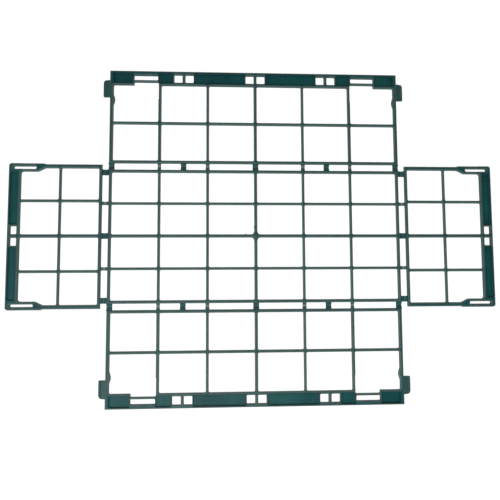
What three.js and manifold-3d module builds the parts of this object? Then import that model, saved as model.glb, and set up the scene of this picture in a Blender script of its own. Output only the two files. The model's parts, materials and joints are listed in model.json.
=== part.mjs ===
import * as THREE from 'three';
import { mergeVertices } from 'three/addons/utils/BufferGeometryUtils.js';
import Module from 'manifold-3d';

// Folding lattice cage: one polypropylene moulding with a floor grid, four flap grids on living
// hinges, and a snap latch at each corner. Millimetres, +Z up, lying flat as it left the mould.
// The origin is the middle of the underside. A flap is drawn in its own plan: u runs along its
// hinge line and e is the distance out from that line.

// ---- driving dimensions ----
const depth = 3.0;              // every grid and rim, underside to top
const seam = 0.1;               // gap between neighbouring pieces of the one moulding
const pitch = 49.4;             // column spacing, shared by the floor and the long flaps
const columnsEachSide = 3;

const hingeY = 71.4;            // hinge line of a long flap, from the centre
const hingeX = 153.0;           // hinge line of a side flap, from the centre

const cellRadius = 1.0;         // fillet in a cell's corner
const arcSteps = 3;             // facets in a quarter turn

const floor = {
  columnWidths: [3.4, 2.95, 3.05, 3.3],   // centre column first, then outwards
  rows: [
    { at: -66.6, width: 3.4 },
    { at: -33.2, width: 2.95 },
    { at: 0, width: 3.5 },
    { at: 33.2, width: 2.95 },
    { at: 66.6, width: 3.4 },
  ],
  gusset: 3.2,                  // leg of the web in each corner of the centre crossing
};

const gate = { radius: 2.1, height: 0.5, steps: 16 };

const longFlap = {
  columnWidths: [3.45, 3.0, 3.5, 4.0],
  edgeInset: 0.2,               // the side bars stand this much closer in than the pitch
  hingeBar: { at: 4.8, width: 3.45 },
  middleBar: { at: 45.4, width: 3.2 },
  bump: { at: 69.6, length: 10.6, height: 1.4 },   // thickening of the side bar below the tab
};

const longRim = {
  inner: 85.1,
  outer: 100.2,
  slot: { from: 101.0, to: 125.0, low: 90.7, high: 95.4 },
  underSlot: 2.45,              // bar left between the slot and the cell
  window: { length: 8.2, low: 88.5, high: 96.5, rib: 3.3 },
  windowPairs: [-1.5 * pitch, 0, 1.5 * pitch],
  rib: 1.9,                     // wall round a pocket
  windowWall: 0.9,              // wall between a window or the slot and the next pocket
};

const sideFlap = {
  edge: { at: 71.1, width: 4.4, bulge: 0.8, bulgeFrom: 59.0, bulgeFull: 62.0 },
  rows: [
    { at: -35.7, width: 3.1 },
    { at: 0, width: 3.75 },
    { at: 35.7, width: 3.1 },
  ],
  hingeBar: { at: 4.8, width: 3.4 },
  middleBar: { at: 45.0, width: 2.75 },
};

const sideRim = {
  inner: 83.8,
  outer: 95.8,
  cornerRadius: 3.0,
  window: { length: 7.7, low: 86.8, high: 92.9, rib: 4.0 },
  rib: { outer: 2.0, inner: 2.6 },
  pocketEnd: 64.0,
  windowWall: 1.7,
};

const latch = {
  slot: { at: 69.45, width: 2.3, from: 69.0, to: 91.0 },
  arm: { width: 3.0, wedgeFrom: 58.8, wedgeTo: 68.0 },
  tab: { from: 71.5, to: 90.0, reach: 6.1, low: 1.4, high: 2.8, bigRadius: 4.5, smallRadius: 1.0 },
  lip: { width: 2.6, high: 4.0 },
};

const pocketDepth = 1.4;        // how far a rim's pocket sinks below its ribs
const pocketRadius = 0.8;

const strap = { low: 0.1, high: 1.7, film: 0.5, filmHalf: 0.45 };
const longStraps = [
  { at: -3 * pitch, width: 5.7, shift: 1.05 },
  { at: -2 * pitch, width: 3.5 },
  { at: -1.5 * pitch, width: 5.6 },
  { at: -pitch, width: 4.0 },
  { at: 0, width: 6.0 },
  { at: pitch, width: 4.0 },
  { at: 1.5 * pitch, width: 5.6 },
  { at: 2 * pitch, width: 3.5 },
  { at: 3 * pitch, width: 5.7, shift: -1.05 },
];
const sideStraps = [
  { at: -66.6, width: 5.9, shift: 1.5 },
  { at: -33.2, width: 3.5 },
  { at: 0, width: 5.8 },
  { at: 33.2, width: 3.5 },
  { at: 66.6, width: 5.9, shift: -1.5 },
];

const colours = { moulding: 0x1f4646, strap: 0x2c5452 };

// ---- joining and cutting ----
const wasm = await Module();
wasm.setup();

function toSolid(geometry) {
  const bare = geometry.clone();
  bare.deleteAttribute('normal');
  bare.deleteAttribute('uv');
  const merged = mergeVertices(bare, 1e-4);
  const mesh = new wasm.Mesh({
    numProp: 3,
    vertProperties: new Float32Array(merged.attributes.position.array),
    triVerts: new Uint32Array(merged.index.array),
  });
  return new wasm.Manifold(mesh);
}

function toGeometry(solid) {
  const mesh = solid.getMesh();
  const geometry = new THREE.BufferGeometry();
  geometry.setAttribute('position', new THREE.BufferAttribute(mesh.vertProperties, 3));
  geometry.setIndex(new THREE.BufferAttribute(mesh.triVerts, 1));
  geometry.computeVertexNormals();
  return geometry;
}

const cut = (body, tools) => toGeometry(toSolid(body).subtract(toSolid(tools)));
const join = (first, second) => toGeometry(toSolid(first).add(toSolid(second)));

// ---- plan shapes ----
// A flap's plan turned into the object's plan, one function for each side.
const plans = {
  floor: (u, e) => new THREE.Vector2(u, e),
  back: (u, e) => new THREE.Vector2(u, hingeY + e),
  front: (u, e) => new THREE.Vector2(u, -hingeY - e),
  right: (u, e) => new THREE.Vector2(hingeX + e, u),
  left: (u, e) => new THREE.Vector2(-hingeX - e, u),
};

// Quarter turn of a rounded corner, from angle start, counted in quarter turns.
function cornerPoints(centreU, centreE, radius, start) {
  const points = [];
  for (let step = 0; step <= arcSteps; step += 1) {
    const angle = (start + step / arcSteps) * Math.PI / 2;
    points.push([centreU + radius * Math.cos(angle), centreE + radius * Math.sin(angle)]);
  }
  return points;
}

// Rectangle with a radius for each corner, given from high-high round through low-high.
function roundedRect(lowU, highU, lowE, highE, radii) {
  const corners = [
    [highU, highE, -1, -1],
    [lowU, highE, 1, -1],
    [lowU, lowE, 1, 1],
    [highU, lowE, -1, 1],
  ];
  return corners.flatMap(([u, e, inU, inE], index) => {
    const radius = radii[index];
    if (radius === 0) {
      return [[u, e]];
    }
    return cornerPoints(u + inU * radius, e + inE * radius, radius, index);
  });
}

const evenRect = (lowU, highU, lowE, highE, radius) => (
  roundedRect(lowU, highU, lowE, highE, [radius, radius, radius, radius])
);

// One or more outlines on a plan, raised from low to high.
function slab(plan, outlines, low, high) {
  const shapes = outlines.map((points) => new THREE.Shape(points.map(([u, e]) => plan(u, e))));
  const geometry = new THREE.ExtrudeGeometry(shapes, { depth: high - low, bevelEnabled: false });
  geometry.translate(0, 0, low);
  return geometry;
}

// A tool for a through cut passes both faces.
const through = (plan, outlines) => slab(plan, outlines, -1, depth + 1);

// Columns of the floor or a long flap, from the list of widths that starts at the centre.
function columnBars({ columnWidths, edgeInset = 0 }) {
  const bars = [];
  for (let place = -columnsEachSide; place <= columnsEachSide; place += 1) {
    const inset = Math.abs(place) === columnsEachSide ? Math.sign(place) * edgeInset : 0;
    bars.push({ at: place * pitch - inset, width: columnWidths[Math.abs(place)] });
  }
  return bars;
}

// The clear stretches between neighbouring bars.
function gapsBetween(bars) {
  return bars.slice(1).map((bar, index) => ({
    low: bars[index].at + bars[index].width / 2,
    high: bar.at - bar.width / 2,
  }));
}

// Cells where every gap along u crosses every gap along e.
function cellOutlines(gapsU, gapsE) {
  return gapsU.flatMap((gapU) => gapsE.map((gapE) => (
    evenRect(gapU.low, gapU.high, gapE.low, gapE.high, cellRadius)
  )));
}

const outerEdge = (bar) => bar.at + bar.width / 2;
const innerEdge = (bar) => bar.at - bar.width / 2;

// ---- the floor ----
function floorGrid() {
  const columns = columnBars(floor);
  const halfLength = outerEdge(columns.at(-1));
  const halfWidth = outerEdge(floor.rows.at(-1));
  const sheet = slab(plans.floor, [evenRect(-halfLength, halfLength, -halfWidth, halfWidth, 0)], 0, depth);
  const cells = cellOutlines(gapsBetween(columns), gapsBetween(floor.rows));
  const grid = cut(sheet, through(plans.floor, cells));
  const reachU = floor.columnWidths[0] / 2 + floor.gusset;
  const reachE = floor.rows[2].width / 2 + floor.gusset;
  const web = [[reachU, 0], [0, reachE], [-reachU, 0], [0, -reachE]];
  return join(grid, slab(plans.floor, [web], 0, depth));
}

function gateStub() {
  const { radius, height, steps } = gate;
  const geometry = new THREE.CylinderGeometry(radius * 0.8, radius, height, steps);
  geometry.rotateX(Math.PI / 2);
  geometry.translate(0, 0, depth + seam + height / 2);
  return geometry;
}

// ---- a long flap ----
function longFlapGrid(plan) {
  const columns = columnBars(longFlap);
  const halfLength = outerEdge(columns.at(-1));
  const start = innerEdge(longFlap.hingeBar);
  const finish = longRim.inner - seam;
  const openEnd = { at: finish + pitch, width: pitch };   // lets the last cells run out past the grid
  const sheet = slab(plan, [evenRect(-halfLength, halfLength, start, finish, 0)], 0, depth);
  const bars = [longFlap.hingeBar, longFlap.middleBar, openEnd];
  const gapsE = gapsBetween(bars);
  gapsE.at(-1).high += pitch / 4;
  const grid = cut(sheet, through(plan, cellOutlines(gapsBetween(columns), gapsE)));
  const wall = innerEdge(columns.at(-1));
  return join(grid, slab(plan, [bumpOutline(-wall, 1), bumpOutline(wall, -1)], 0, depth));
}

// A shallow circle segment standing on the side bar's inner edge.
function bumpOutline(wall, inward) {
  const { at, length, height } = longFlap.bump;
  const radius = (length * length / 4 + height * height) / (2 * height);
  const half = Math.asin(length / 2 / radius);
  const root = 0.5;                                       // how far its foot runs into the bar
  const facets = 2 * arcSteps;
  const points = [];
  for (let step = 0; step <= facets; step += 1) {
    const angle = half * (2 * step / facets - 1);
    const rise = radius * Math.cos(angle) - (radius - height);
    points.push([wall + inward * rise, at + radius * Math.sin(angle)]);
  }
  points.push([wall - inward * root, at + length / 2]);
  points.push([wall - inward * root, at - length / 2]);
  return points;
}

function longRimChannel(plan) {
  const { inner, outer, slot, underSlot, window, windowPairs, rib, windowWall } = longRim;
  const side = outerEdge(columnBars(longFlap).at(-1));
  const sideInner = innerEdge(columnBars(longFlap).at(-1));
  const body = slab(plan, [evenRect(-side, side, inner, outer, 0)], 0, depth);

  const openings = [];
  for (const centre of windowPairs) {
    for (const hand of [-1, 1]) {
      const middle = centre + hand * (window.rib + window.length) / 2;
      const half = window.length / 2;
      openings.push(evenRect(middle - half, middle + half, window.low, window.high, pocketRadius));
    }
  }
  const notchFrom = slot.from - 0.8;
  for (const hand of [-1, 1]) {
    const ends = [hand * slot.from, hand * slot.to].sort((a, b) => a - b);
    openings.push(evenRect(ends[0], ends[1], slot.low, slot.high, pocketRadius));
    const notch = [hand * notchFrom, hand * slot.to].sort((a, b) => a - b);
    openings.push(evenRect(notch[0], notch[1], inner - pitch / 4, slot.low - underSlot, cellRadius));
  }

  const pairHalf = window.rib / 2 + window.length + windowWall;
  const pockets = [];
  for (const hand of [-1, 1]) {
    const stretches = [
      [pairHalf, windowPairs[2] - pairHalf],
      [windowPairs[2] + pairHalf, slot.from - windowWall],
      [slot.to + rib, sideInner],
    ];
    for (const stretch of stretches) {
      const ends = stretch.map((u) => hand * u).sort((a, b) => a - b);
      pockets.push(evenRect(ends[0], ends[1], inner + rib, outer - rib, pocketRadius));
    }
  }
  const opened = cut(body, through(plan, openings));
  return cut(opened, slab(plan, pockets, depth - pocketDepth, depth + 1));
}

// Tab on a long flap's side edge: a plate with a raised lip along its outer edge.
function latchTab(plan, hand) {
  const { from, to, reach, low, high, bigRadius, smallRadius } = latch.tab;
  const root = outerEdge(columnBars(longFlap).at(-1));
  const mirrored = (u, e) => plan(hand * u, e);
  const outline = roundedRect(root + seam, root + reach, from, to, [bigRadius, 0, 0, smallRadius]);
  const plate = slab(mirrored, [outline], low, high);
  const blank = slab(mirrored, [outline], low, latch.lip.high);
  const lipStart = root + reach - latch.lip.width;
  const inboard = slab(mirrored, [evenRect(root - 1, lipStart, from - 1, to + 1, 0)], 0, latch.lip.high + 1);
  return join(plate, cut(blank, inboard));
}

// ---- a side flap ----
// Slot that takes a tab; it starts in the grid's edge bar and ends inside the rim.
function slotOutline(hand) {
  const { at, width, from, to } = latch.slot;
  const ends = [hand * (at - width / 2), hand * (at + width / 2)].sort((a, b) => a - b);
  return evenRect(ends[0], ends[1], from, to, width / 2 - 0.01);
}

function sideFlapGrid(plan) {
  const { edge, rows, hingeBar, middleBar } = sideFlap;
  const start = innerEdge(hingeBar);
  const finish = sideRim.inner - seam;
  const side = outerEdge(edge);
  const half = [[side, start], [side, edge.bulgeFrom], [side + edge.bulge, edge.bulgeFull], [side + edge.bulge, finish]];
  const otherHalf = half.map(([u, e]) => [-u, e]).reverse();
  const sheet = slab(plan, [[...half, ...otherHalf]], 0, depth);
  const bars = [{ at: -edge.at, width: edge.width }, ...rows, { at: edge.at, width: edge.width }];
  const gapsE = gapsBetween([hingeBar, middleBar, { at: finish + pitch, width: pitch }]);
  gapsE.at(-1).high += pitch / 4;
  const grid = cut(sheet, through(plan, cellOutlines(gapsBetween(bars), gapsE)));
  return cut(grid, through(plan, [slotOutline(-1), slotOutline(1)]));
}

function sideRimChannel(plan) {
  const { inner, outer, cornerRadius, window, rib, pocketEnd, windowWall } = sideRim;
  const side = outerEdge(sideFlap.edge) + sideFlap.edge.bulge;
  const outline = roundedRect(-side, side, inner, outer, [cornerRadius, cornerRadius, 0, 0]);
  const openings = [slotOutline(-1), slotOutline(1)];
  const pockets = [];
  for (const hand of [-1, 1]) {
    const middle = hand * (window.rib + window.length) / 2;
    const half = window.length / 2;
    openings.push(evenRect(middle - half, middle + half, window.low, window.high, pocketRadius));
    const ends = [window.rib / 2 + window.length + windowWall, pocketEnd].map((u) => hand * u);
    ends.sort((a, b) => a - b);
    pockets.push(evenRect(ends[0], ends[1], inner + rib.inner, outer - rib.outer, pocketRadius));
  }
  const opened = cut(slab(plan, [outline], 0, depth), through(plan, openings));
  return cut(opened, slab(plan, pockets, depth - pocketDepth, depth + 1));
}

// Thin arm beside the slot, with the wedge that roots it in the edge bar.
function latchArm(plan, hand) {
  const { slot, arm } = latch;
  const barEdge = innerEdge(sideFlap.edge) - seam;
  const slotEdge = slot.at - slot.width / 2;
  const finish = sideRim.inner - seam;
  const outline = [
    [barEdge, arm.wedgeFrom],
    [barEdge, slot.from + slot.width / 2],
    [slotEdge, slot.from + slot.width / 2],
    [slotEdge, finish],
    [slotEdge - arm.width, finish],
    [slotEdge - arm.width, arm.wedgeTo],
  ].map(([u, e]) => [hand * u, e]);
  return cut(slab(plan, [outline], 0, depth), through(plan, [slotOutline(hand)]));
}

// ---- living hinges ----
// A strap's section along e: full height at both ends and a film over the hinge line.
function hingeStrap(plan, from, to, { at, width, shift = 0 }) {
  const section = new THREE.Shape([
    [from, strap.low],
    [to, strap.low],
    [to, strap.high],
    [strap.high, strap.high],
    [strap.filmHalf, strap.film],
    [-strap.filmHalf, strap.film],
    [-strap.high, strap.high],
    [from, strap.high],
  ].map(([e, z]) => new THREE.Vector2(e, z)));
  const geometry = new THREE.ExtrudeGeometry(section, { depth: width, bevelEnabled: false });
  const origin = plan(at + shift, 0);
  const outward = plan(at + shift, 1).sub(origin);
  const along = new THREE.Vector3(outward.x, outward.y, 0);
  const up = new THREE.Vector3(0, 0, 1);
  const across = new THREE.Vector3().crossVectors(along, up);
  const frame = new THREE.Matrix4().makeBasis(along, up, across);
  geometry.translate(0, 0, -width / 2);
  geometry.applyMatrix4(frame);
  geometry.translate(origin.x, origin.y, 0);
  return geometry;
}

// ---- the assembly ----
const moulding = new THREE.MeshStandardMaterial({ color: colours.moulding, roughness: 0.42, metalness: 0 });
const strapFinish = new THREE.MeshStandardMaterial({ color: colours.strap, roughness: 0.38, metalness: 0 });

function piece(name, geometry, material = moulding) {
  const mesh = new THREE.Mesh(geometry, material.clone());
  mesh.name = name;
  return mesh;
}

const cage = new THREE.Group();
cage.name = 'folding_lattice_cage';

const base = new THREE.Group();
base.add(piece('base_lattice', floorGrid()), piece('gate_stub', gateStub()));
cage.add(base);

for (const side of ['back', 'front']) {
  const flap = new THREE.Group();
  flap.add(piece(`${side}_flap_lattice`, longFlapGrid(plans[side])));
  flap.add(piece(`${side}_flap_rim`, longRimChannel(plans[side])));
  flap.add(piece(`${side}_left_latch_tab`, latchTab(plans[side], -1)));
  flap.add(piece(`${side}_right_latch_tab`, latchTab(plans[side], 1)));
  cage.add(flap);

  const from = outerEdge(floor.rows.at(-1)) - hingeY + seam;
  const to = innerEdge(longFlap.hingeBar) - seam;
  longStraps.forEach((place, index) => {
    const geometry = hingeStrap(plans[side], from, to, place);
    cage.add(piece(`${side}_hinge_strap_${index + 1}`, geometry, strapFinish));
  });
}

for (const side of ['left', 'right']) {
  const flap = new THREE.Group();
  flap.add(piece(`${side}_flap_lattice`, sideFlapGrid(plans[side])));
  flap.add(piece(`${side}_flap_rim`, sideRimChannel(plans[side])));
  flap.add(piece(`${side}_front_latch_arm`, latchArm(plans[side], -1)));
  flap.add(piece(`${side}_back_latch_arm`, latchArm(plans[side], 1)));
  cage.add(flap);

  const from = outerEdge({ at: columnsEachSide * pitch, width: floor.columnWidths.at(-1) }) - hingeX + seam;
  const to = innerEdge(sideFlap.hingeBar) - seam;
  sideStraps.forEach((place, index) => {
    const geometry = hingeStrap(plans[side], from, to, place);
    cage.add(piece(`${side}_hinge_strap_${index + 1}`, geometry, strapFinish));
  });
}

export default cage;
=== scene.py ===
import bpy
import json
import math
import numpy as np
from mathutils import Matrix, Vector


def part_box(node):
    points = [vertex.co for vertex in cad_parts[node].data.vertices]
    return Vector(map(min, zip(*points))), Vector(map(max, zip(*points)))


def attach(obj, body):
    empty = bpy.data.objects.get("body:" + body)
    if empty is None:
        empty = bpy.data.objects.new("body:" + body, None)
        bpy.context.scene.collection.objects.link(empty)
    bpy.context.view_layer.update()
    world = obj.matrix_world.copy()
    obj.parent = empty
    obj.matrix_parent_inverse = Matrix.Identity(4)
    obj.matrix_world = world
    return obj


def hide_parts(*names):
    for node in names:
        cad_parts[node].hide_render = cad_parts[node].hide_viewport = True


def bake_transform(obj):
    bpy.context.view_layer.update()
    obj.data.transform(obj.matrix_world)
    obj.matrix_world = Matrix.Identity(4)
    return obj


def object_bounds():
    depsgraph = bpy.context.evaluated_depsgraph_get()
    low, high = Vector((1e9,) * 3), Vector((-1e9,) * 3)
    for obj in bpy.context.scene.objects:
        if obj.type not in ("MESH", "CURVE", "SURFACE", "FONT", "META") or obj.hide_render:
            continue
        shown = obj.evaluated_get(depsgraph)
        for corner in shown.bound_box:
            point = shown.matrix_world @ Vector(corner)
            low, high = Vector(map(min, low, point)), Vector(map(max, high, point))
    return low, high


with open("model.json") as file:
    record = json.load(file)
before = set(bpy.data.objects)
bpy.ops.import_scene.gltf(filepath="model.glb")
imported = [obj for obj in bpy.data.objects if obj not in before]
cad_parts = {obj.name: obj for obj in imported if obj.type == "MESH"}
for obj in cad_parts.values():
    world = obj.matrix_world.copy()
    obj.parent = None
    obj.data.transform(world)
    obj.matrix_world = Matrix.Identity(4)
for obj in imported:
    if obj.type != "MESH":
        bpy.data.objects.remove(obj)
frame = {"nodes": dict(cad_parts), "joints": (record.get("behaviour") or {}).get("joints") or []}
cadLow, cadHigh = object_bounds()

# Folding polypropylene lattice cage. All shapes are worked out in millimetres on a panel's own plan:
# u runs along the hinge line, e outwards from it, and z up; toPlan puts them into the frame in metres.
mm = 0.001
hingeAt = {joint["name"]: joint["pos_m"] for joint in frame["joints"]}
hingeY = hingeAt["back_flap_hinge"][1] / mm
hingeX = hingeAt["right_flap_hinge"][0] / mm
pitch = 49.4                              # column spacing of the floor and the long flaps
margin = 0.4                              # a mesh's grid starts this far outside its outline


def toPlan(side, u, e):
    # the panel's u and e turned into the frame's x and y, still in millimetres
    if side == "floor":
        return u, e
    if side == "back":
        return u, hingeY + e
    if side == "front":
        return u, -hingeY - e
    if side == "right":
        return hingeX + e, u
    return -hingeX - e, u


def nodeSpan(side, node):
    # a CAD node's box as (lowest u, highest u, lowest e, highest e), read back from the frame
    low, high = (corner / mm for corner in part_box(node))
    if side == "floor":
        return low.x, high.x, low.y, high.y
    if side == "back":
        return low.x, high.x, low.y - hingeY, high.y - hingeY
    if side == "front":
        return low.x, high.x, -high.y - hingeY, -low.y - hingeY
    if side == "right":
        return low.y, high.y, low.x - hingeX, high.x - hingeX
    return low.y, high.y, -high.x - hingeX, -low.x - hingeX


# Plan distances are negative inside the plastic and positive outside it.
def boxGap(u, e, lowU, highU, lowE, highE, radius=0.0):
    # signed distance to a rectangle with round corners: the straight way to its nearest side or corner
    awayU = np.abs(u - (lowU + highU) / 2) - ((highU - lowU) / 2 - radius)
    awayE = np.abs(e - (lowE + highE) / 2) - ((highE - lowE) / 2 - radius)
    outside = np.hypot(np.maximum(awayU, 0), np.maximum(awayE, 0))
    return outside + np.minimum(np.maximum(awayU, awayE), 0) - radius


def joined(first, second, soft):
    # smooth union, which is a fillet: the smaller distance, less a parabola of width soft where
    # both are alike
    share = np.clip(0.5 + 0.5 * (second - first) / soft, 0, 1)
    return second + (first - second) * share - soft * share * (1 - share)


def without(solid, hole):
    # the solid where the hole isn't
    return np.maximum(solid, -hole)


def nearest(gaps):
    return np.minimum.reduce(list(gaps))


def smoothStep(value):
    # 0 below 0, 1 above 1, and an S between: 3t^2 - 2t^3
    t = np.clip(value, 0, 1)
    return t * t * (3 - 2 * t)


def barEdges(bars):
    # both edges of every (middle, width) bar
    return [at + hand * width / 2 for at, width in bars for hand in (-1, 1)]


def gapsBetween(bars):
    # the clear stretches between neighbouring bars
    return [(a + widthA / 2, b - widthB / 2) for (a, widthA), (b, widthB) in zip(bars, bars[1:])]


def columnBars(widths, edgeInset=0.0):
    # columns at every pitch, widths listed from the middle one outwards, the last ones moved in by edgeInset
    bars = [(place * pitch, widths[place]) for place in range(len(widths))]
    bars[-1] = (bars[-1][0] - edgeInset, bars[-1][1])
    return [(-at, width) for at, width in bars[:0:-1]] + bars


# heights over a plan, in mm
skin = {
    "landLow": 0.3,       # lower edge of the upright land round every outline
    "landRun": 0.35,      # width of the rounding underneath
    "gridCrest": 2.85,
    "gridFlank": (0.75, 5.0, 1.6),       # foot height, rise per mm inwards, softness: a round-backed bar
    "rimCrest": 3.0,
    "rimFlank": (0.6, 5.5, 0.7),         # a flatter, sharper rib
    "windowRadius": 0.7,
    "pocketRadius": 0.8,
    "pocketDepth": 1.4,
}


def flank(inset, crest, shape):
    # height over the plan: a straight slope from foot that levels off at crest along a hyperbola
    foot, slope, soft = shape
    short = crest - foot - slope * inset
    return crest - (short + np.sqrt(short ** 2 + soft ** 2)) / 2


def underside(inset, level=0.0):
    # flat at level, and rounded up to the land by a parabola over landRun
    return level + skin["landLow"] * (1 - np.minimum(inset / skin["landRun"], 1)) ** 2


def gatherLines(low, high, edges, spread=(0.2, 0.45, 0.7, 0.95, 1.3, 1.8), coarse=7.0, tight=0.12):
    # grid lines at every edge, then at each spread distance on both sides of it, then evenly in the gaps left
    lines = [low, high]
    wanted = list(edges) + [edge + hand * step for step in spread for edge in edges for hand in (-1, 1)]
    for place in wanted:
        if low < place < high and min(abs(place - line) for line in lines) > tight:
            lines.append(place)
    lines.sort()
    spans = zip(lines, lines[1:])
    filled = [np.linspace(a, b, math.ceil((b - a) / coarse) + 1)[:-1] for a, b in spans]
    return np.append(np.concatenate(filled), high)


def onOutline(u, e, gap, loose):
    # loose points slide down the distance's own slope until it is nought, by distance over slope squared,
    # and points on the grid's first and last lines stay on those lines
    tiny = 0.02
    for _ in range(4):
        slopeU = (gap(u + tiny, e) - gap(u - tiny, e)) / (2 * tiny)
        slopeE = (gap(u, e + tiny) - gap(u, e - tiny)) / (2 * tiny)
        push = np.where(loose, -gap(u, e) / (slopeU ** 2 + slopeE ** 2 + 1e-6), 0)
        moveU, moveE = push * slopeU, push * slopeE
        moveU[[0, -1], :] = 0
        moveE[:, [0, -1]] = 0
        u, e = u + moveU, e + moveE
    return u, e


def panelMesh(name, side, linesU, linesE, gap, heights, marks=None):
    # a grid of (u, e) kept where gap is negative; its top and bottom skins stand at heights(u, e, inset),
    # where inset is the way in from the outline, and a wall joins them along every open edge;
    # marks(u, e, inset) adds attributes
    u, e = np.meshgrid(linesU, linesE, indexing="ij")
    kept = gap((u[:-1, :-1] + u[1:, 1:]) / 2, (e[:-1, :-1] + e[1:, 1:]) / 2) < 0
    keptRound, realRound = np.pad(kept, 1), np.pad(np.ones_like(kept), 1)
    around = [(slice(a, a + u.shape[0]), slice(b, b + u.shape[1])) for a in (0, 1) for b in (0, 1)]
    used = np.logical_or.reduce([keptRound[part] for part in around])
    outline = used & np.logical_or.reduce([(realRound & ~keptRound)[part] for part in around])
    u, e = onOutline(u, e, gap, outline)
    inset = np.where(outline, 0, np.maximum(-gap(u, e), 0))
    top, low = heights(u, e, inset)

    number = np.cumsum(used.ravel()).reshape(used.shape) - 1
    total = int(used.sum())
    i, j = np.nonzero(kept)
    corners = [number[i, j], number[i + 1, j], number[i + 1, j + 1], number[i, j + 1]]
    beside = [keptRound[i + 1, j], keptRound[i + 2, j + 1], keptRound[i + 1, j + 2], keptRound[i, j + 1]]
    topFaces = np.stack(corners, 1)
    faces = [topFaces, topFaces[:, ::-1] + total]
    for turn in range(4):
        start, end = corners[turn], corners[(turn + 1) % 4]
        faces.append(np.stack([end, start, start + total, end + total], 1)[~beside[turn]])
    faces = np.concatenate(faces)
    if side in ("front", "right"):        # these two plans are mirror images, so the faces turn round
        faces = faces[:, ::-1]
    x, y = toPlan(side, u[used], e[used])
    points = np.concatenate([np.stack([x, y, top[used]], 1), np.stack([x, y, low[used]], 1)]) * mm
    values = {"inset": np.tile(inset[used], 2)}
    for mark, value in (marks(u, e, inset) if marks else {}).items():
        values[mark] = np.append(value[used], 0 * value[used])
    return meshObject(name, points, faces, values)


def meshObject(name, points, faces, values):
    # points and faces as a smooth mesh with one float attribute for each name in values
    mesh = bpy.data.meshes.new(name)
    mesh.from_pydata(points.tolist(), [], faces if isinstance(faces, list) else faces.tolist())
    for key, value in values.items():
        mesh.attributes.new(key, "FLOAT", "POINT").data.foreach_set("value", value.astype(np.float32))
    mesh.polygons.foreach_set("use_smooth", np.ones(len(mesh.polygons), bool))
    mesh.set_sharp_from_angle(angle=math.radians(62))
    mesh.validate()
    piece = bpy.data.objects.new(name, mesh)
    bpy.context.scene.collection.objects.link(piece)
    return piece


def linear(code):
    # sRGB hex turned to linear red, green, blue and alpha
    parts = [int(code[k:k + 2], 16) / 255 for k in (1, 3, 5)]
    return [p / 12.92 if p <= 0.04045 else ((p + 0.055) / 1.055) ** 2.4 for p in parts] + [1.0]


def addNode(tree, kind, settings=None, inputs=None):
    # one node with its settings, its socket values, and links where a value is another node's output
    node = tree.nodes.new(kind)
    for key, value in (settings or {}).items():
        setattr(node, key, value)
    for key, value in (inputs or {}).items():
        if isinstance(value, bpy.types.NodeSocket):
            tree.links.new(value, node.inputs[key])
        else:
            node.inputs[key].default_value = value
    return node


# polypropylene, injection moulded: a waxy half-gloss with a fine eroded grain, cloudy where the melt cooled
# unevenly, paler and duller along its thin edges, partly from handling wear and partly as a painted sheen,
# and darkened by painted shade at the foot of every flank and in corners
mouldedLook = {
    "deep": "#084145",
    "green": "#0E5150",
    # paler edge colour: partly handling wear, partly a painted sheen
    "wornAndSheen": "#54625C",
    # dark colour of painted shade: at flank feet, in pocket corners and along the tabs' lip lines
    "paintedShade": "#04282B",
    "whitenedAndBacklit": "#9A9C95",    # paler where a fold has been bent to and fro, by stress whitening and by painted light seen through the thin film
    "cloudSize": 38.0,        # mm, a cooling cloud
    "flowSize": 9.0,          # mm, streaks of the melt
    "grainSize": 0.9,         # mm, coarser than the real 0.1 mm grain so that it shows
    "wearSheenFrom": (0.1, 0.55),   # mm in from an outline: the worn edge with its painted sheen starts on top of the flank
    "wearSheenTo": (1.1, 2.2),      # and fades out over the flat
    "wearSheenShare": 0.72,
    "footShadeWidth": 0.3,         # mm of painted shade along a flank's foot
    "bumpDepth": 0.05,        # mm
    "bumpStrength": 0.5,
    "roughness": (0.3, 0.46),
    "ior": 1.49,
    "specular": 0.36,
}


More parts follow.
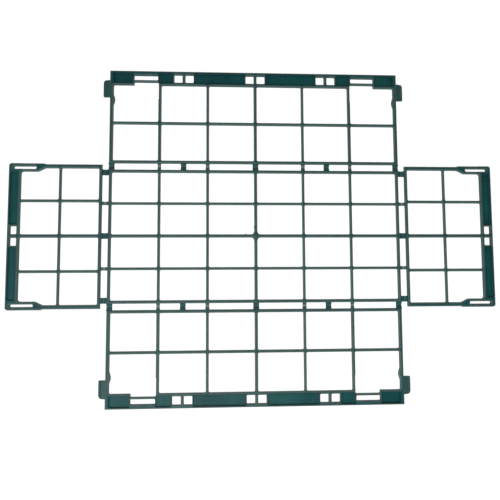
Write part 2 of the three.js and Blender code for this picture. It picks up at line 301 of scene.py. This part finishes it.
def polypropylene(name, look):
    material = bpy.data.materials.new(name)
    material.use_nodes = True
    tree = material.node_tree
    tree.nodes.clear()
    place = addNode(tree, "ShaderNodeTexCoord").outputs["Object"]

    def cloud(size, detail, stretch=(1, 1, 1)):
        turned = addNode(tree, "ShaderNodeMapping", inputs={"Vector": place, "Scale": stretch})
        values = {"Vector": turned.outputs["Vector"], "Scale": 1 / (size * mm), "Detail": detail}
        return addNode(tree, "ShaderNodeTexNoise", inputs=values).outputs["Fac"]

    def spread(source, low, high, toLow, toHigh):
        values = {"Value": source, "From Min": low, "From Max": high, "To Min": toLow, "To Max": toHigh}
        return addNode(tree, "ShaderNodeMapRange", inputs=values).outputs["Result"]

    def mixColour(share, first, second):
        node = addNode(tree, "ShaderNodeMix", {"data_type": "RGBA"}, {"Factor": share})
        for socket, value in ((node.inputs[6], first), (node.inputs[7], second)):
            if isinstance(value, str):
                socket.default_value = linear(value)
            else:
                tree.links.new(value, socket)
        return node.outputs[2]

    clouds = spread(cloud(look["cloudSize"], 3), 0.35, 0.65, 0, 1)
    flow = spread(cloud(look["flowSize"], 4, (1, 1, 3)), 0.3, 0.7, 0, 1)
    grain = cloud(look["grainSize"], 5)
    body = mixColour(clouds, look["deep"], look["green"])

    def mark(key):
        return addNode(tree, "ShaderNodeAttribute", {"attribute_name": key}).outputs["Fac"]

    def times(first, second):
        return addNode(tree, "ShaderNodeMath", {"operation": "MULTIPLY"}, {0: first, 1: second}).outputs[0]

    inset = mark("inset")
    # a paler band over the top of every edge, partly handling wear and partly a painted sheen, broken up by
    # the melt's streaks
    edge = times(spread(inset, *look["wearSheenFrom"], 0, look["wearSheenShare"]), spread(inset, *look["wearSheenTo"], 1, 0))
    colour = mixColour(times(edge, spread(flow, 0, 1, 0.7, 1)), body, look["wornAndSheen"])
    # painted shade: the foot of every flank darkened where shade falls next to it
    colour = mixColour(spread(inset, 0, look["footShadeWidth"], 0.6, 0), colour, look["paintedShade"])
    # painted shade in the pockets' corners and along the tabs' lip lines
    colour = mixColour(mark("crease"), colour, look["paintedShade"])
    # stress whitening with painted light seen through the film over each hinge
    colour = mixColour(mark("bent"), colour, look["whitenedAndBacklit"])
    rough = spread(grain, 0.3, 0.7, *look["roughness"])
    values = {"Height": grain, "Distance": look["bumpDepth"] * mm, "Strength": look["bumpStrength"]}
    bump = addNode(tree, "ShaderNodeBump", inputs=values).outputs["Normal"]
    values = {"Base Color": colour, "Roughness": rough, "Normal": bump,
              "IOR": look["ior"], "Specular IOR Level": look["specular"]}
    shader = addNode(tree, "ShaderNodeBsdfPrincipled", inputs=values)
    addNode(tree, "ShaderNodeOutputMaterial", inputs={"Surface": shader.outputs["BSDF"]})
    return material


moulded = polypropylene("mouldedPolypropylene", mouldedLook)
# the straps' material: pale over each hinge film by stress whitening and painted light seen through the film
strapFinish = polypropylene("whitenedBacklitStrap", mouldedLook)


def finishPiece(piece, body, node, material=moulded):
    piece.data.materials.append(material)
    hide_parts(node)
    if body:
        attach(piece, body)
    return piece


floorGrid = {
    "columns": columnBars([3.4, 2.95, 3.05, 3.3]),
    "rows": [(-66.6, 3.4), (-33.2, 2.95), (0.0, 3.5), (33.2, 2.95), (66.6, 3.4)],
    "corner": 1.2,            # fillet in a cell
    "gusset": 4.7,            # reach of the diamond web round the gate
    "boss": 2.3,              # radius of the ejector bosses where the columns meet the outer rows
    "nubs": [(-10.4, 1.0, 1.2), (-1.1, 9.0, 1.1)],      # flash on the runners: u, e, radius
}


def cellsGap(u, e, columns, rows, corner):
    # distance to the nearest cell between the bars
    spans = [(a, b) for a in gapsBetween(columns) for b in gapsBetween(rows)]
    return nearest(boxGap(u, e, *a, *b, corner) for a, b in spans)


def floorGap(u, e):
    # the floor's sheet without its cells, with a diamond web and two flash nubs joined on
    lowU, highU, lowE, highE = nodeSpan("floor", "base_lattice")
    sheet = boxGap(u, e, lowU, highU, lowE, highE, 0.8)
    grid = without(sheet, cellsGap(u, e, floorGrid["columns"], floorGrid["rows"], floorGrid["corner"]))
    web = (np.abs(u) + 0.75 * np.abs(e) - floorGrid["gusset"]) / 1.25
    grid = joined(grid, web, 1.2)
    bosses = [np.hypot(u - at, np.abs(e) - floorGrid["rows"][-1][0]) for at, _ in floorGrid["columns"][1:-1]]
    grid = joined(grid, nearest(bosses) - floorGrid["boss"], 0.5)
    for atU, atE, radius in floorGrid["nubs"]:
        grid = joined(grid, np.hypot(u - atU, e - atE) - radius, 0.6)
    return grid


def gridHeights(u, e, inset):
    return flank(inset, skin["gridCrest"], skin["gridFlank"]), underside(inset, 0.05)


def buildFloor():
    lowU, highU, lowE, highE = nodeSpan("floor", "base_lattice")
    nubLines = [atU for atU, _, _ in floorGrid["nubs"]]
    edgesU = barEdges(floorGrid["columns"]) + nubLines + [-3.5, 3.5]
    edgesE = barEdges(floorGrid["rows"]) + [9.0, -5.5, 5.5, -3.5, 3.5]
    linesU = gatherLines(lowU - margin, highU + margin, edgesU)
    linesE = gatherLines(lowE - margin, highE + margin, edgesE)
    piece = panelMesh("baseLattice", "floor", linesU, linesE, floorGap, gridHeights)
    return finishPiece(piece, "base", "base_lattice")


longFlap = {
    "columns": columnBars([3.45, 3.0, 3.5, 4.0], 0.2),
    "rows": [(4.8, 3.45), (45.4, 3.2)],
    "rimInner": 85.1,
    "corner": 1.2,
    "boss": 2.3,
    "bump": {"at": 69.6, "length": 10.6, "height": 1.4},
    "slot": (101.0, 125.0, 90.7, 95.4),
    "notch": (100.2, 125.0, 88.25),       # from u, to u, and the rim's raised inner edge there
    "windows": {"pairs": (-1.5 * pitch, 0.0, 1.5 * pitch), "length": 8.2, "rib": 3.3, "e": (88.5, 96.5)},
    "pocketWall": 0.9,                    # between a window or the slot and the next pocket
    "lastPocketEnd": 145.9,
    "rib": 1.9,
    "seam": 83.8,                         # where the rim's piece meets the grid's
}


def longFlapGap(u, e):
    # the whole flap in one distance: a sheet without its cells, windows, slots and notches, and with the
    # side bars' bumps, which are arcs of the radius (length^2 / 4 + height^2) / (2 height)
    lowU, highU, _, _ = nodeSpan("back", "back_flap_rim")
    start, outer = nodeSpan("back", "back_flap_lattice")[2], nodeSpan("back", "back_flap_rim")[3]
    sheet = boxGap(u, e, lowU, highU, start, outer, 0.7)
    rows = longFlap["rows"] + [(longFlap["rimInner"] + 5, 10)]
    cells = cellsGap(u, e, longFlap["columns"], rows, longFlap["corner"])
    across = np.abs(u)
    fromU, toU, raised = longFlap["notch"]
    cells = np.minimum(cells, boxGap(across, e, fromU, toU, 70, raised, longFlap["corner"]))
    bump = longFlap["bump"]
    radius = (bump["length"] ** 2 / 4 + bump["height"] ** 2) / (2 * bump["height"])
    wall = longFlap["columns"][-1][0] - longFlap["columns"][-1][1] / 2
    swell = np.hypot(across - wall - radius + bump["height"], e - bump["at"]) - radius
    swell = np.maximum(swell, across - wall - 1.0)
    solid = joined(without(sheet, cells), swell, 0.8)
    bosses = [np.hypot(u - at, e - longFlap["rows"][0][0]) for at, _ in longFlap["columns"][1:-1]]
    solid = joined(solid, nearest(bosses) - longFlap["boss"], 0.5)
    return without(solid, nearest(longOpenings(across, e)))


def longOpenings(across, e):
    # windows in pairs beside a rib, and a slot near each end
    windows = longFlap["windows"]
    half = windows["length"] / 2
    for centre in windows["pairs"][1:]:
        for hand in (-1, 1):
            middle = centre + hand * (windows["rib"] / 2 + half)
            yield boxGap(across, e, middle - half, middle + half, *windows["e"], skin["windowRadius"])
    yield boxGap(across, e, *longFlap["slot"], skin["windowRadius"])


def longPockets(across, e):
    # pockets of the rim's channel: between the window pairs, beside the slot, and in the end block
    low, high = longFlap["rimInner"] + longFlap["rib"], nodeSpan("back", "back_flap_rim")[3] - longFlap["rib"]
    wall = longFlap["pocketWall"]
    half = longFlap["windows"]["rib"] / 2 + longFlap["windows"]["length"] + wall
    last = longFlap["windows"]["pairs"][-1]
    stretches = ((half, last - half), (last + half, longFlap["slot"][0] - wall),
                 (longFlap["slot"][1] + wall, longFlap["lastPocketEnd"]))
    for start, end in stretches:
        yield boxGap(across, e, start, end, low, high, skin["pocketRadius"])


def rimHeights(e, inset, seam, pockets):
    # the rim's crest a little over the grid's, and its pockets sunk by pocketDepth over a short wall
    crest = skin["gridCrest"] + (skin["rimCrest"] - skin["gridCrest"]) * smoothStep((e - seam - 0.3) / 1.2)
    top = flank(inset, crest, skin["rimFlank"]) - skin["pocketDepth"] * smoothStep(-pockets / 0.3)
    return top, underside(inset, 0.05)


def creaseShadeOf(pockets):
    # painted shade in a pocket's corner, fading over half a millimetre from the foot of its wall
    return 0.75 * np.exp(-np.abs(pockets + 0.3) / 0.5)


def longRimHeights(u, e, inset):
    return rimHeights(e, inset, longFlap["seam"], nearest(longPockets(np.abs(u), e)))


def longRimMarks(u, e, inset):
    return {"crease": creaseShadeOf(nearest(longPockets(np.abs(u), e)))}


def longEdgesU():
    windows = longFlap["windows"]
    edges = barEdges(longFlap["columns"])
    half, wall = windows["rib"] / 2 + windows["length"], longFlap["pocketWall"]
    for centre in windows["pairs"]:
        for place in (windows["rib"] / 2, half, half + wall):
            edges += [centre - place, centre + place]
    fromU, toU = longFlap["slot"][:2]
    for place in (fromU, fromU - wall, toU, toU + wall, longFlap["lastPocketEnd"]):
        edges += [-place, place]
    return edges


def buildLongFlap(side):
    lowU, highU, _, outer = nodeSpan("back", "back_flap_rim")
    start = nodeSpan("back", "back_flap_lattice")[2]
    seam = longFlap["seam"]
    columnsU = gatherLines(lowU - margin, highU + margin, barEdges(longFlap["columns"]))
    swell = list(np.arange(62.5, 77.0, 0.7))
    gridE = gatherLines(start - margin, seam, barEdges(longFlap["rows"]) + swell + [seam - 0.7])
    piece = panelMesh(side + "FlapLattice", side, columnsU, gridE, longFlapGap, gridHeights)
    finishPiece(piece, side + "_flap", side + "_flap_lattice")

    low, high = longFlap["windows"]["e"]
    rimEdges = [longFlap["rimInner"], longFlap["rimInner"] + longFlap["rib"], outer, outer - longFlap["rib"]]
    rimEdges += [low, high, *longFlap["slot"][2:], longFlap["notch"][2]]
    rimE = gatherLines(seam, outer + margin, rimEdges)
    linesU = gatherLines(lowU - margin, highU + margin, longEdgesU())
    piece = panelMesh(side + "FlapRim", side, linesU, rimE, longFlapGap, longRimHeights, longRimMarks)
    finishPiece(piece, side + "_flap", side + "_flap_rim")


latchTab = {
    "root": 0.9,
    "bigRadius": 4.5,
    "smallRadius": 1.0,
    "top": 2.7,
    "low": 1.4,
    "lipWidth": 2.6,
    "lipFrom": 0.45,          # beyond the side flap's hinge line, so that the lip clears the folded side flap
}


def buildLatchTab(side, hand, node):
    # a plate with round outer corners, and a lip that rises along its free edge
    lowU, highU, lowE, highE = nodeSpan(side, node)
    root = min(abs(lowU), abs(highU)) - latchTab["root"]
    tip = max(abs(lowU), abs(highU))
    middle = (lowE + highE) / 2
    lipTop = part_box(node)[1].z / mm

    def gap(u, e):
        radius = np.where(e > middle, latchTab["bigRadius"], latchTab["smallRadius"])
        return boxGap(hand * u, e, 2 * root - tip, tip, lowE, highE, radius)

    def beyondWall(u):
        return smoothStep((hand * u - hingeX - latchTab["lipFrom"]) / 0.7)

    def heights(u, e, inset):
        lip = smoothStep((latchTab["lipWidth"] + 0.4 - inset) / 0.7)
        crest = latchTab["top"] + (lipTop - latchTab["top"]) * lip * beyondWall(u)
        return flank(inset, crest, (latchTab["low"] + 0.6, 5.0, 0.7)), underside(inset, latchTab["low"])

    def marks(u, e, inset):
        # painted shade along the foot of the lip; a steady inset of 1.7 gives the whole plate about a third
        # of the paler edge colour and no shade at its foot
        line = np.exp(-np.abs(inset - latchTab["lipWidth"] - 0.4) / 0.45)
        return {"crease": 0.7 * line * beyondWall(u), "inset": 1.7 + 0 * inset}

    fine = list(np.arange(root + 1.2, tip, 0.45))
    linesU = gatherLines(root, tip + margin, fine + [tip])
    if hand < 0:
        linesU = -linesU[::-1]
    edges = [lowE, highE] + list(np.arange(highE - 5, highE, 0.45))
    linesE = gatherLines(lowE - margin, highE + margin, edges, coarse=1.2)
    name = side + ("Right" if hand > 0 else "Left") + "LatchTab"
    piece = panelMesh(name, side, linesU, linesE, gap, heights, marks)
    finishPiece(piece, side + "_flap", node)


sideFlap = {
    "rows": [(-71.1, 4.4), (-35.7, 3.1), (0.0, 3.75), (35.7, 3.1), (71.1, 4.4)],
    "bars": [(4.8, 3.4), (45.0, 2.75)],
    "rimInner": 83.8,
    "corner": 1.2,
    "bulge": {"by": 0.8, "from": 59.0, "over": 3.0},
    "slot": {"at": 69.45, "width": 2.3, "from": 69.0, "to": 91.0},
    "arm": {"width": 3.0, "wedgeFrom": 58.8, "wedgeTo": 68.0},
    "window": {"length": 7.7, "rib": 4.0, "e": (86.8, 92.9)},
    "ribs": (2.6, 2.0),
    "pocket": (11.4, 64.0),
    "seam": 82.6,
}


def sideSheetGap(u, e):
    # the flap's outline, whose long edges bulge beside the slots, without its slots and windows
    _, highU, _, outer = nodeSpan("right", "right_flap_rim")
    start = nodeSpan("right", "right_flap_lattice")[2]
    across = np.abs(u)
    bulge = sideFlap["bulge"]
    narrow = bulge["by"] * (1 - smoothStep((e - bulge["from"]) / bulge["over"]))
    radius = np.where(e > 50, 3.0, 0.8)
    sheet = boxGap(across + narrow, e, -highU, highU, start, outer, radius)
    slot = sideFlap["slot"]
    lowS, highS = slot["at"] - slot["width"] / 2, slot["at"] + slot["width"] / 2
    holes = [boxGap(across, e, lowS, highS, slot["from"], slot["to"], slot["width"] / 2 - 0.01)]
    window = sideFlap["window"]
    near, far = window["rib"] / 2, window["rib"] / 2 + window["length"]
    holes.append(boxGap(across, e, near, far, *window["e"], skin["windowRadius"]))
    return without(sheet, nearest(holes))


def sideCells(u, e, withArm):
    # cells between the bars; beside an arm the outermost cell is narrower, behind a wedge that leans
    # from bar to arm, a quarter straight and the rest along an S
    across = np.abs(u)
    rows = sideFlap["rows"][2:]
    bars = sideFlap["bars"] + [(sideFlap["rimInner"] + 5, 10)]
    lastRow, edgeBar = gapsBetween(rows)[-1]
    rimSpan = gapsBetween(bars)[-1]
    radius = np.where((across > 55) & (e > 70), 2.4, sideFlap["corner"])
    arm, slot = sideFlap["arm"], sideFlap["slot"]
    if withArm:
        share = np.clip((e - arm["wedgeFrom"]) / (arm["wedgeTo"] - arm["wedgeFrom"]), 0, 1)
        inner = slot["at"] - slot["width"] / 2 - arm["width"]
        lean = edgeBar + (inner - edgeBar) * (0.25 * share + 0.75 * smoothStep(share))
        outermost = boxGap(across + edgeBar - lean, e, lastRow, edgeBar, *rimSpan, radius)
        outermost = np.maximum(outermost, lastRow - across)
    else:
        outermost = boxGap(across, e, lastRow, edgeBar, rimSpan[0], rimSpan[1], sideFlap["corner"])
    others = [(a, b) for a in gapsBetween(rows) for b in gapsBetween(bars)][:-1]
    return nearest([outermost] + [boxGap(across, e, *a, *b, sideFlap["corner"]) for a, b in others])


def sideRimGap(u, e):
    return without(sideSheetGap(u, e), sideCells(u, e, True))


def sideGridGap(u, e):
    return without(sideSheetGap(u, e), sideCells(u, e, False))


def sidePockets(across, e):
    low, high = sideFlap["pocket"]
    outer = nodeSpan("right", "right_flap_rim")[3]
    innerRib, outerRib = sideFlap["ribs"]
    inner = sideFlap["rimInner"] + innerRib
    yield boxGap(across, e, low, high, inner, outer - outerRib, skin["pocketRadius"])


def sideRimHeights(u, e, inset):
    return rimHeights(e, inset, sideFlap["seam"], nearest(sidePockets(np.abs(u), e)))


def sideRimMarks(u, e, inset):
    return {"crease": creaseShadeOf(nearest(sidePockets(np.abs(u), e)))}


def buildSideFlap(side):
    _, highU, _, outer = nodeSpan("right", "right_flap_rim")
    start = nodeSpan("right", "right_flap_lattice")[2]
    slot, seam, bulge = sideFlap["slot"], sideFlap["seam"], sideFlap["bulge"]
    slotEdges = [hand * (slot["at"] + out * slot["width"] / 2) for hand in (-1, 1) for out in (-1, 1)]
    slotEdges += [hand * slot["at"] for hand in (-1, 1)]
    rowEdges = barEdges(sideFlap["rows"]) + slotEdges + [-highU, highU]
    rowLines = gatherLines(-highU - margin, highU + margin, rowEdges)
    ends = [slot["from"] + step for step in (0.0, 0.3, 0.7, 1.35)]
    bulgeE = list(np.arange(bulge["from"], bulge["from"] + bulge["over"] + 0.1, 0.5))
    gridE = gatherLines(start - margin, seam, barEdges(sideFlap["bars"]) + ends + bulgeE + [seam - 0.7])
    piece = panelMesh(side + "FlapLattice", side, rowLines, gridE, sideGridGap, gridHeights)
    finishPiece(piece, side + "_flap", side + "_flap_lattice")

    window = sideFlap["window"]
    half = window["rib"] / 2 + window["length"]
    moreU = [hand * place for place in (window["rib"] / 2, half, *sideFlap["pocket"]) for hand in (-1, 1)]
    inner = slot["at"] - slot["width"] / 2 - sideFlap["arm"]["width"]
    armU = [hand * (inner - step) for step in (0, 0.5, 1.0, 1.5, 2.0, 2.5) for hand in (-1, 1)]
    linesU = gatherLines(-highU - margin, highU + margin, rowEdges + moreU + armU + [highU - 3, 3 - highU])
    ribs = [sideFlap["rimInner"] + sideFlap["ribs"][0], outer - sideFlap["ribs"][1]]
    ends = [slot["to"] - step for step in (0.0, 0.3, 0.7, 1.35)]
    edgesE = [sideFlap["rimInner"], outer, outer - 3, *ribs, *window["e"], *ends]
    linesE = gatherLines(seam, outer + margin, edgesE)
    piece = panelMesh(side + "FlapRim", side, linesU, linesE, sideRimGap, sideRimHeights, sideRimMarks)
    finishPiece(piece, side + "_flap", side + "_flap_rim")


def buildLatchArm(side, hand, node):
    # the spring arm beside the slot with its wedge, rooted in the edge bar and just under its crest
    arm, slot, seam = sideFlap["arm"], sideFlap["slot"], sideFlap["seam"]
    inner = slot["at"] - slot["width"] / 2 - arm["width"]
    barMiddle = sideFlap["rows"][-1][0]
    edgeBar = barMiddle - sideFlap["rows"][-1][1] / 2

    def gap(u, e):
        body = sideRimGap(u, e)
        beyond = np.minimum(hand * u - slot["at"], e - slot["from"] - 0.2)
        return np.maximum(body, beyond)

    def heights(u, e, inset):
        return flank(inset, skin["gridCrest"] - 0.02, skin["gridFlank"]), underside(inset, 0.06)

    edges = [inner, slot["at"] - slot["width"] / 2, slot["at"], edgeBar]
    edges += list(np.arange(inner, edgeBar, 0.4))
    linesU = gatherLines(inner - 2.6, barMiddle, edges)
    if hand < 0:
        linesU = -linesU[::-1]
    along = list(np.arange(arm["wedgeFrom"] - 1, arm["wedgeTo"] + 3, 0.5))
    linesE = gatherLines(arm["wedgeFrom"] - 1.5, seam, along + [seam - 0.7, seam - 1.4])
    name = side + ("Back" if hand > 0 else "Front") + "LatchArm"
    piece = panelMesh(name, side, linesU, linesE, gap, heights)
    finishPiece(piece, side + "_flap", node)


hingeStrap = {
    "root": 0.75,             # how far it runs on into each bar
    "film": 0.5,
    "top": 1.7,
    "filmHalf": 0.45,
    "groove": 1.5,
    "low": 0.1,
    "flare": 0.3,
    "narrow": 4.5,            # straps under this width get the most whitening and painted light through the film
    # shares of the pale hinge colour, stress whitening with painted light, for narrow and wide straps
    "whitenedAndBacklit": (0.6, 0.12),
}


def buildStrap(side, node):
    # a short bar whose top falls to a film over the hinge line, flared where it roots in the two panels
    lowU, highU, lowE, highE = nodeSpan(side, node)
    low, high = lowE - hingeStrap["root"], highE + hingeStrap["root"]
    centre, half = (lowU + highU) / 2, (highU - lowU) / 2

    def gap(u, e):
        flare = hingeStrap["flare"] * smoothStep((np.abs(e) - 2.6) / 0.9) ** 2
        return np.abs(u - centre) - half - flare

    def heights(u, e, inset):
        rise = smoothStep((np.abs(e) - hingeStrap["filmHalf"]) / hingeStrap["groove"])
        crest = hingeStrap["film"] + (hingeStrap["top"] - hingeStrap["film"]) * rise
        edge = 0.25 * np.exp(-inset / 0.15)
        return crest - edge * rise, hingeStrap["low"] + 0 * inset

    def marks(u, e, inset):
        share = hingeStrap["whitenedAndBacklit"][0 if 2 * half < hingeStrap["narrow"] else 1]
        # pale over the hinge film: stress whitening and painted light seen through it
        return {"bent": share * np.exp(-(e / 1.7) ** 2), "inset": 3 + 0 * inset}

    fineE = list(np.arange(-2.0, 2.05, 0.2)) + [lowE, highE]
    linesE = gatherLines(low, high, fineE, coarse=0.4)
    linesU = gatherLines(lowU - 1.2, highU + 1.2, [lowU, highU, lowU - 0.5, highU + 0.5], coarse=0.8)
    words = node.split("_")
    name = words[0] + "HingeStrap" + words[-1]
    piece = panelMesh(name, side, linesU, linesE, gap, heights, marks)
    finishPiece(piece, None, node, strapFinish)
    fold = 0.6
    start = [value * mm for value in toPlan(side, centre, -fold)] + [0]
    end = [value * mm for value in toPlan(side, centre, fold)] + [0]
    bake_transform(piece)
    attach(piece, "base")


gateStub = {"steps": 48, "rings": 10, "sunk": 0.3}


def buildGate():
    # a profile turned about the gate's axis, from a pole on top, over the rim and in to a pole below:
    # a low plug whose torn top waves three and five times round
    low, high = (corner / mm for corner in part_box("gate_stub"))
    radius, height = (high.x - low.x) / 2, high.z - low.z + gateStub["sunk"]
    steps, rings = gateStub["steps"], gateStub["rings"]
    turns, radii = np.arange(steps) * 2 * np.pi / steps, np.arange(1, rings + 1) / rings
    turn, out = np.meshgrid(turns, radii, indexing="ij")
    torn = 0.18 * np.sin(3 * turn + 0.7) + 0.12 * np.sin(5 * turn) * out
    z = low.z - gateStub["sunk"] + height * (1 - out ** 4) * (0.82 + torn * out * (1 - out))
    x, y = radius * out * np.cos(turn), radius * out * np.sin(turn)
    points = np.stack([x, y, np.minimum(z, high.z)], 2).reshape(-1, 3)
    top, foot = len(points), len(points) + 1
    points = np.concatenate([points, [[0, 0, z.max()], [0, 0, low.z - gateStub["sunk"]]]])
    i, j = np.meshgrid(np.arange(steps), np.arange(rings - 1), indexing="ij")
    a, b = (i * rings + j).ravel(), ((i + 1) % steps * rings + j).ravel()
    first, last = np.arange(steps) * rings, np.arange(steps) * rings + rings - 1
    faces = np.stack([a, a + 1, b + 1, b], 1).tolist()
    faces += np.stack([np.full(steps, top), first, np.roll(first, -1)], 1).tolist()
    faces += np.stack([np.full(steps, foot), np.roll(last, -1), last], 1).tolist()
    inset = np.append((1 - out).ravel() * radius, [radius, 0])
    piece = meshObject("gateStub", points * mm, faces, {"inset": inset})
    return finishPiece(piece, "base", "gate_stub")


buildFloor()
buildGate()
print("floor grid and gate built")
for side in ("back", "front"):
    buildLongFlap(side)
    for hand, word in ((-1, "left"), (1, "right")):
        buildLatchTab(side, hand, side + "_" + word + "_latch_tab")
print("long flaps built")
for side in ("left", "right"):
    buildSideFlap(side)
    for hand, word in ((-1, "front"), (1, "back")):
        buildLatchArm(side, hand, side + "_" + word + "_latch_arm")
print("side flaps built")
for node in sorted(frame["nodes"]):
    if "hinge_strap" in node:
        buildStrap(node.split("_")[0], node)
print("hinge straps built")


studio = {
    "floorColour": "#5A5A5A",            # opal acrylic, unlit
    "floorLight": "#FFFFFF",
    "floorGlow": 0.98,        # the light table's own light
    "floorReach": 6.0,        # m from the middle to an edge
    "tentSide": 0.9,          # radiance of the white tent near the horizon
    "tentTop": 0.1,           # and of its dark opening over the object
    "tentFrom": 0.25,         # height on the dome where the sides start to darken
    "tentTo": 0.85,
    "keyTurn": 226,           # degrees round to the softbox
    "keyUp": 58,
    "keyAway": 0.95,
    "keySize": 0.9,
    "keyWatts": 2.4,
    "fillTurn": 256,          # the diffuse panel close to the front edge
    "fillUp": 46,
    "fillAway": 0.62,
    "fillSize": 0.5,
    "fillWatts": 2.3,
}
camera = {
    "place": (-0.02316, -0.03928, 0.40892),
    "turn": (3.4893, -2.3833, -0.2558),  # degrees about x, y and z
    "lens": 28.8,
}


def buildSoftbox(which):
    # a square lamp on a sphere round the object, facing its middle
    light = bpy.data.lights.new(which + "Softbox", "AREA")
    light.energy, light.size = studio[which + "Watts"], studio[which + "Size"]
    lamp = bpy.data.objects.new(which + "Softbox", light)
    around, above = math.radians(studio[which + "Turn"]), math.radians(studio[which + "Up"])
    flat = math.cos(above)
    towards = (flat * math.cos(around), flat * math.sin(around), math.sin(above))
    lamp.location = [studio[which + "Away"] * part for part in towards]
    lamp.rotation_euler = (math.pi / 2 - above, 0, around + math.pi / 2)
    bpy.context.scene.collection.objects.link(lamp)
    return lamp


def buildStudio():
    # a white light table under a tent that is bright at the sides and dark overhead, and one softbox
    mesh = bpy.data.meshes.new("studioFloor")
    reach, level = studio["floorReach"], cadLow.z - 0.1 * mm
    square = [(reach * x, reach * y, level) for x, y in ((-1, -1), (1, -1), (1, 1), (-1, 1))]
    mesh.from_pydata(square, [], [(0, 1, 2, 3)])
    floor = bpy.data.objects.new("studioFloor", mesh)
    bpy.context.scene.collection.objects.link(floor)
    acrylic = bpy.data.materials.new("matWhiteAcrylic")
    acrylic.use_nodes = True
    shader = acrylic.node_tree.nodes["Principled BSDF"]
    shader.inputs["Base Color"].default_value = linear(studio["floorColour"])
    shader.inputs["Roughness"].default_value = 0.9
    shader.inputs["Specular IOR Level"].default_value = 0.1
    shader.inputs["Emission Color"].default_value = linear(studio["floorLight"])
    shader.inputs["Emission Strength"].default_value = studio["floorGlow"]
    mesh.materials.append(acrylic)

    world = bpy.data.worlds.new("studioTent")
    world.use_nodes = True
    tree = world.node_tree
    direction = addNode(tree, "ShaderNodeTexCoord").outputs["Generated"]
    height = addNode(tree, "ShaderNodeSeparateXYZ", inputs={"Vector": direction}).outputs["Z"]
    values = {"Value": height, "From Min": studio["tentFrom"], "From Max": studio["tentTo"],
              "To Min": studio["tentSide"], "To Max": studio["tentTop"]}
    fall = addNode(tree, "ShaderNodeMapRange", {"interpolation_type": "SMOOTHSTEP"}, values)
    strength = fall.outputs["Result"]
    tree.links.new(strength, tree.nodes["Background"].inputs["Strength"])
    tree.nodes["Background"].inputs["Color"].default_value = linear("#FFFFFF")
    bpy.context.scene.world = world

    buildSoftbox("key")
    buildSoftbox("fill").visible_glossy = False      # this one lights the plastic without shining on it

    lens = bpy.data.cameras.new("camera")
    lens.lens, lens.sensor_width = camera["lens"], 36
    eye = bpy.data.objects.new("camera", lens)
    eye.location = camera["place"]
    eye.rotation_euler = [math.radians(angle) for angle in camera["turn"]]
    bpy.context.scene.collection.objects.link(eye)
    bpy.context.scene.camera = eye
    bpy.context.scene.view_settings.view_transform = "Standard"


buildStudio()
print("studio set")
